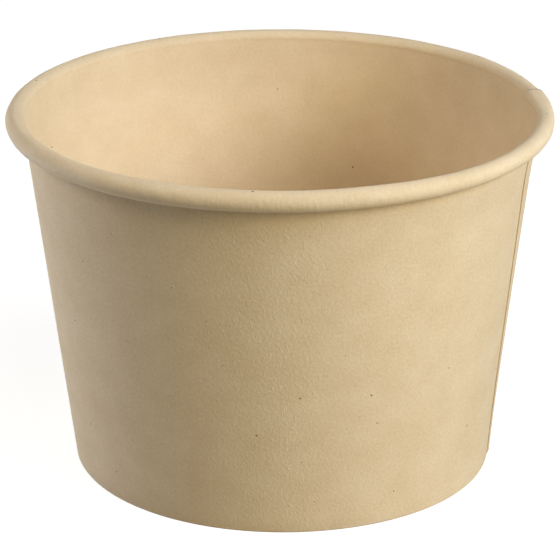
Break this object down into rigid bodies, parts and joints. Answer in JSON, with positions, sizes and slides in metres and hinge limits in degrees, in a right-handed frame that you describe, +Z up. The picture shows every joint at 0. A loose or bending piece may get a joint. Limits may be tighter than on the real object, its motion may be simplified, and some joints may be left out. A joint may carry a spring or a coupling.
{
  "type": "bamboo fibre cup",
  "caption": "Plain disposable food cup of bamboo fibre paper: tapered wall with a lapped side seam, rolled rim and recessed bottom.",
  "frame": {"origin": "centre of the circle that the cup stands on", "axes": "+Z up along the cup's axis; -Y is the side that faces the camera; the side seam is near +X"},
  "size_m": [0.115, 0.115, 0.0778],
  "materials": {
    "wall_paper": "matt, unbleached, fibrous",
    "bottom_paper": "matt, unbleached, fibrous"
  },
  "bodies": {
    "root": {"sidewall": "wall_paper", "bottom_disc": "bottom_paper"}
  },
  "joints": []
}
